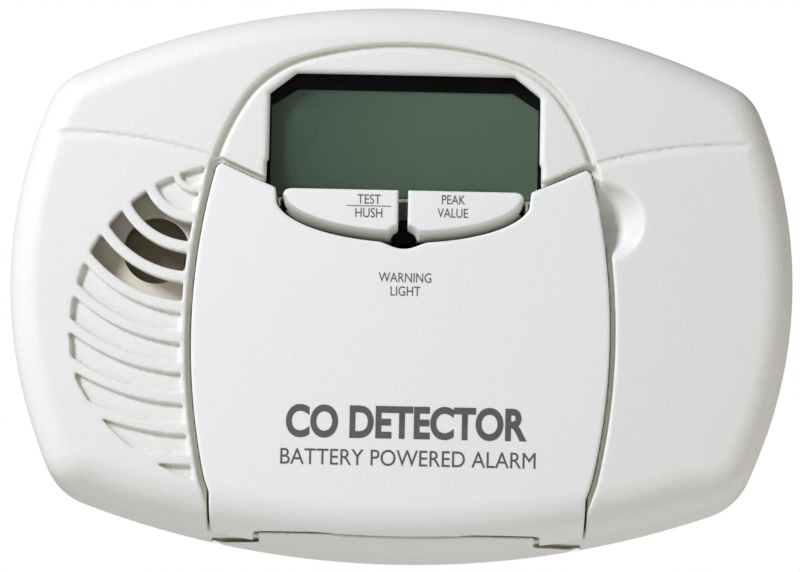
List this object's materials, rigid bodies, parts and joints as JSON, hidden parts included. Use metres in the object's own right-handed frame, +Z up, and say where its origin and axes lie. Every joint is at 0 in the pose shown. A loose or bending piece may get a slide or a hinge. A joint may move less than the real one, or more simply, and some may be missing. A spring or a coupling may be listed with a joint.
{
  "type": "carbon monoxide detector",
  "caption": "Wall-mounted carbon monoxide alarm: domed oval case with curved sound slots, a grey display window, lens-shaped keys and a flip-down battery door.",
  "frame": {"origin": "centre of the bracket's back face, midway between its two wall screws, on the wall plane", "axes": "+Z up, the front faces -Y, +Y into the wall, +X to the right seen from the front"},
  "size_m": [0.146, 0.038, 0.1031],
  "materials": {
    "housing_plastic": "fine spark-eroded off-white ABS",
    "door_plastic": "fine spark-eroded white ABS",
    "bracket_plastic": "plain off-white",
    "clear_plastic": "polished clear acrylic",
    "display_glass": "grey-green reflective display",
    "strip_rubber": "soft contact strip",
    "board": "solder-masked glass fibre",
    "black_plastic": "black moulded",
    "plunger_plastic": "natural nylon",
    "led_red": "tinted epoxy",
    "smoked_plastic": "smoked acrylic",
    "cell_jacket": "printed film over steel can",
    "nickel": "nickel plated",
    "horn_plastic": "beige moulded",
    "brass": "rolled sheet",
    "capacitor_sleeve": "shrink sleeve",
    "zinc_steel": "zinc plated",
    "foam": "closed-cell foam"
  },
  "bodies": {
    "bracket": {"wall_bracket": "bracket_plastic"},
    "alarm": {"front_housing": "housing_plastic", "rear_housing": "housing_plastic", "window_lens": "clear_plastic", "display_holder": "housing_plastic", "lcd_panel": "display_glass", "contact_strips": "strip_rubber", "main_board": "board", "switch_bodies": "black_plastic", "status_leds": "led_red", "led_guide": "smoked_plastic", "battery_tray": "black_plastic", "batteries": "cell_jacket", "spring_contacts": "nickel", "plate_contacts": "nickel", "horn_cup": "horn_plastic", "piezo_disc": "brass", "gas_sensor": "nickel", "controller_chips": "black_plastic", "capacitors": "capacitor_sleeve", "case_screws": "zinc_steel"},
    "door": {"battery_door": "door_plastic", "hold_down_pad": "foam"},
    "test_key": {"test_button": "door_plastic"},
    "peak_key": {"peak_button": "door_plastic"},
    "test_switch": {"test_plunger": "plunger_plastic"},
    "peak_switch": {"peak_plunger": "plunger_plastic"}
  },
  "joints": [
    {"name": "alarm_lift", "type": "slide", "parent": "bracket", "child": "alarm", "axis": [0, 0, 1], "range_m": [0, 0.006]},
    {"name": "door_hinge", "type": "hinge", "parent": "alarm", "child": "door", "pos_m": [0, -0.0341, -0.0465], "axis": [1, 0, 0], "range_deg": [0, 90]},
    {"name": "test_press", "type": "slide", "parent": "alarm", "child": "test_key", "axis": [0, 1, 0], "range_m": [0, 0.0006], "stiffness_N_per_m": 2500},
    {"name": "peak_press", "type": "slide", "parent": "alarm", "child": "peak_key", "axis": [0, 1, 0], "range_m": [0, 0.0006], "stiffness_N_per_m": 2500},
    {"name": "test_switch_press", "type": "slide", "parent": "alarm", "child": "test_switch", "axis": [0, 1, 0], "range_m": [0, 0.0006]},
    {"name": "peak_switch_press", "type": "slide", "parent": "alarm", "child": "peak_switch", "axis": [0, 1, 0], "range_m": [0, 0.0006]}
  ],
  "couplings": [
    {"joint": "test_switch_press", "follows": "test_press", "ratio": 1},
    {"joint": "peak_switch_press", "follows": "peak_press", "ratio": 1}
  ]
}
